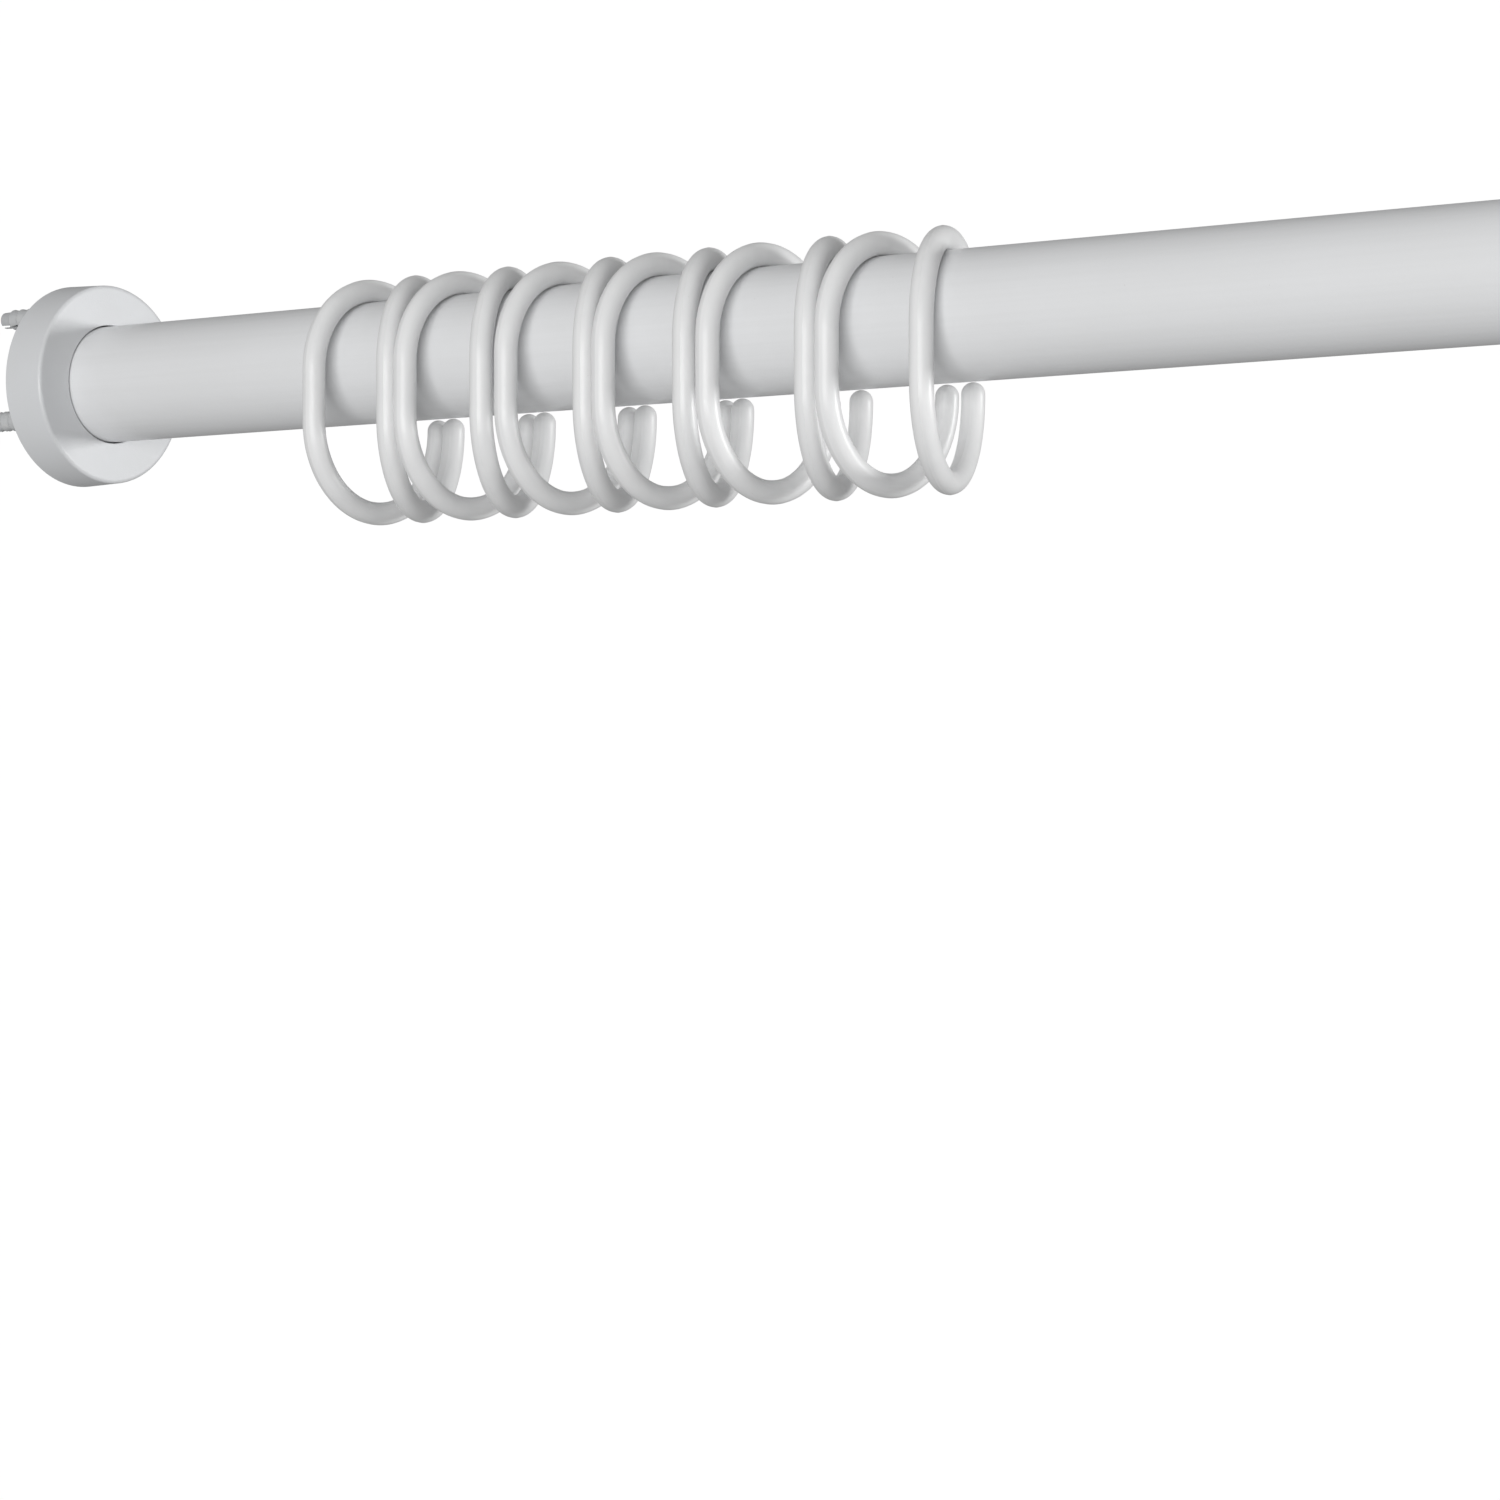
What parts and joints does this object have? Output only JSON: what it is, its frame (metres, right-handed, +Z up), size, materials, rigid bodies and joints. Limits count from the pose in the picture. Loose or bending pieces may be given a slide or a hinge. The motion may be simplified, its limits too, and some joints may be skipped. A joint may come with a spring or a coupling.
{
  "type": "shower curtain rod",
  "caption": "Straight white round tube between two round wall brackets with slip-on covers, carrying loose C-shaped curtain rings.",
  "frame": {"origin": "centre of the left bracket's wall face, on the rod's axis", "axes": "+X along the rod from the left wall to the right wall, +Z up, +Y towards the open side of the rings"},
  "size_m": [0.8534, 0.0488, 0.062],
  "materials": {
    "white_lacquer": "satin",
    "white_cover": "satin",
    "ring_plastic": "satin",
    "cast_alloy": "matte",
    "zinc_steel": "satin",
    "grey_nylon": "matte"
  },
  "bodies": {
    "rod": {"rod_tube": "white_lacquer", "left_wall_plate": "cast_alloy", "left_tube_lock_screw": "zinc_steel", "left_wall_screw_1": "zinc_steel", "left_wall_screw_2": "zinc_steel", "left_wall_screw_3": "zinc_steel", "left_wall_plug_1": "grey_nylon", "left_wall_plug_2": "grey_nylon", "left_wall_plug_3": "grey_nylon", "right_wall_plate": "cast_alloy", "right_tube_lock_screw": "zinc_steel", "right_wall_screw_1": "zinc_steel", "right_wall_screw_2": "zinc_steel", "right_wall_screw_3": "zinc_steel", "right_wall_plug_1": "grey_nylon", "right_wall_plug_2": "grey_nylon", "right_wall_plug_3": "grey_nylon"},
    "left_cover": {"left_cover": "white_cover"},
    "right_cover": {"right_cover": "white_cover"},
    "ring_12": {"ring_12": "ring_plastic"},
    "ring_11": {"ring_11": "ring_plastic"},
    "ring_10": {"ring_10": "ring_plastic"},
    "ring_09": {"ring_09": "ring_plastic"},
    "ring_08": {"ring_08": "ring_plastic"},
    "ring_07": {"ring_07": "ring_plastic"},
    "ring_06": {"ring_06": "ring_plastic"},
    "ring_05": {"ring_05": "ring_plastic"},
    "ring_04": {"ring_04": "ring_plastic"},
    "ring_03": {"ring_03": "ring_plastic"},
    "ring_02": {"ring_02": "ring_plastic"},
    "ring_01": {"ring_01": "ring_plastic"}
  },
  "joints": [
    {"name": "left_cover_slide", "type": "slide", "parent": "rod", "child": "left_cover", "axis": [1, 0, 0], "range_m": [0, 0.06]},
    {"name": "right_cover_slide", "type": "slide", "parent": "rod", "child": "right_cover", "axis": [-1, 0, 0], "range_m": [0, 0.06]},
    {"name": "ring_12_slide", "type": "slide", "parent": "rod", "child": "ring_12", "axis": [1, 0, 0], "range_m": [0, 0.45]},
    {"name": "ring_11_slide", "type": "slide", "parent": "rod", "child": "ring_11", "axis": [1, 0, 0], "range_m": [0, 0.4125]},
    {"name": "ring_10_slide", "type": "slide", "parent": "rod", "child": "ring_10", "axis": [1, 0, 0], "range_m": [0, 0.375]},
    {"name": "ring_09_slide", "type": "slide", "parent": "rod", "child": "ring_09", "axis": [1, 0, 0], "range_m": [0, 0.3375]},
    {"name": "ring_08_slide", "type": "slide", "parent": "rod", "child": "ring_08", "axis": [1, 0, 0], "range_m": [0, 0.3]},
    {"name": "ring_07_slide", "type": "slide", "parent": "rod", "child": "ring_07", "axis": [1, 0, 0], "range_m": [0, 0.2625]},
    {"name": "ring_06_slide", "type": "slide", "parent": "rod", "child": "ring_06", "axis": [1, 0, 0], "range_m": [0, 0.225]},
    {"name": "ring_05_slide", "type": "slide", "parent": "rod", "child": "ring_05", "axis": [1, 0, 0], "range_m": [0, 0.1875]},
    {"name": "ring_04_slide", "type": "slide", "parent": "rod", "child": "ring_04", "axis": [1, 0, 0], "range_m": [0, 0.15]},
    {"name": "ring_03_slide", "type": "slide", "parent": "rod", "child": "ring_03", "axis": [1, 0, 0], "range_m": [0, 0.1125]},
    {"name": "ring_02_slide", "type": "slide", "parent": "rod", "child": "ring_02", "axis": [1, 0, 0], "range_m": [0, 0.075]},
    {"name": "ring_01_slide", "type": "slide", "parent": "rod", "child": "ring_01", "axis": [1, 0, 0], "range_m": [0, 0.0375]}
  ],
  "couplings": [
    {"joint": "ring_11_slide", "follows": "ring_12_slide", "ratio": 0.91667},
    {"joint": "ring_10_slide", "follows": "ring_12_slide", "ratio": 0.83333},
    {"joint": "ring_09_slide", "follows": "ring_12_slide", "ratio": 0.75},
    {"joint": "ring_08_slide", "follows": "ring_12_slide", "ratio": 0.66667},
    {"joint": "ring_07_slide", "follows": "ring_12_slide", "ratio": 0.58333},
    {"joint": "ring_06_slide", "follows": "ring_12_slide", "ratio": 0.5},
    {"joint": "ring_05_slide", "follows": "ring_12_slide", "ratio": 0.41667},
    {"joint": "ring_04_slide", "follows": "ring_12_slide", "ratio": 0.33333},
    {"joint": "ring_03_slide", "follows": "ring_12_slide", "ratio": 0.25},
    {"joint": "ring_02_slide", "follows": "ring_12_slide", "ratio": 0.16667},
    {"joint": "ring_01_slide", "follows": "ring_12_slide", "ratio": 0.083333}
  ]
}
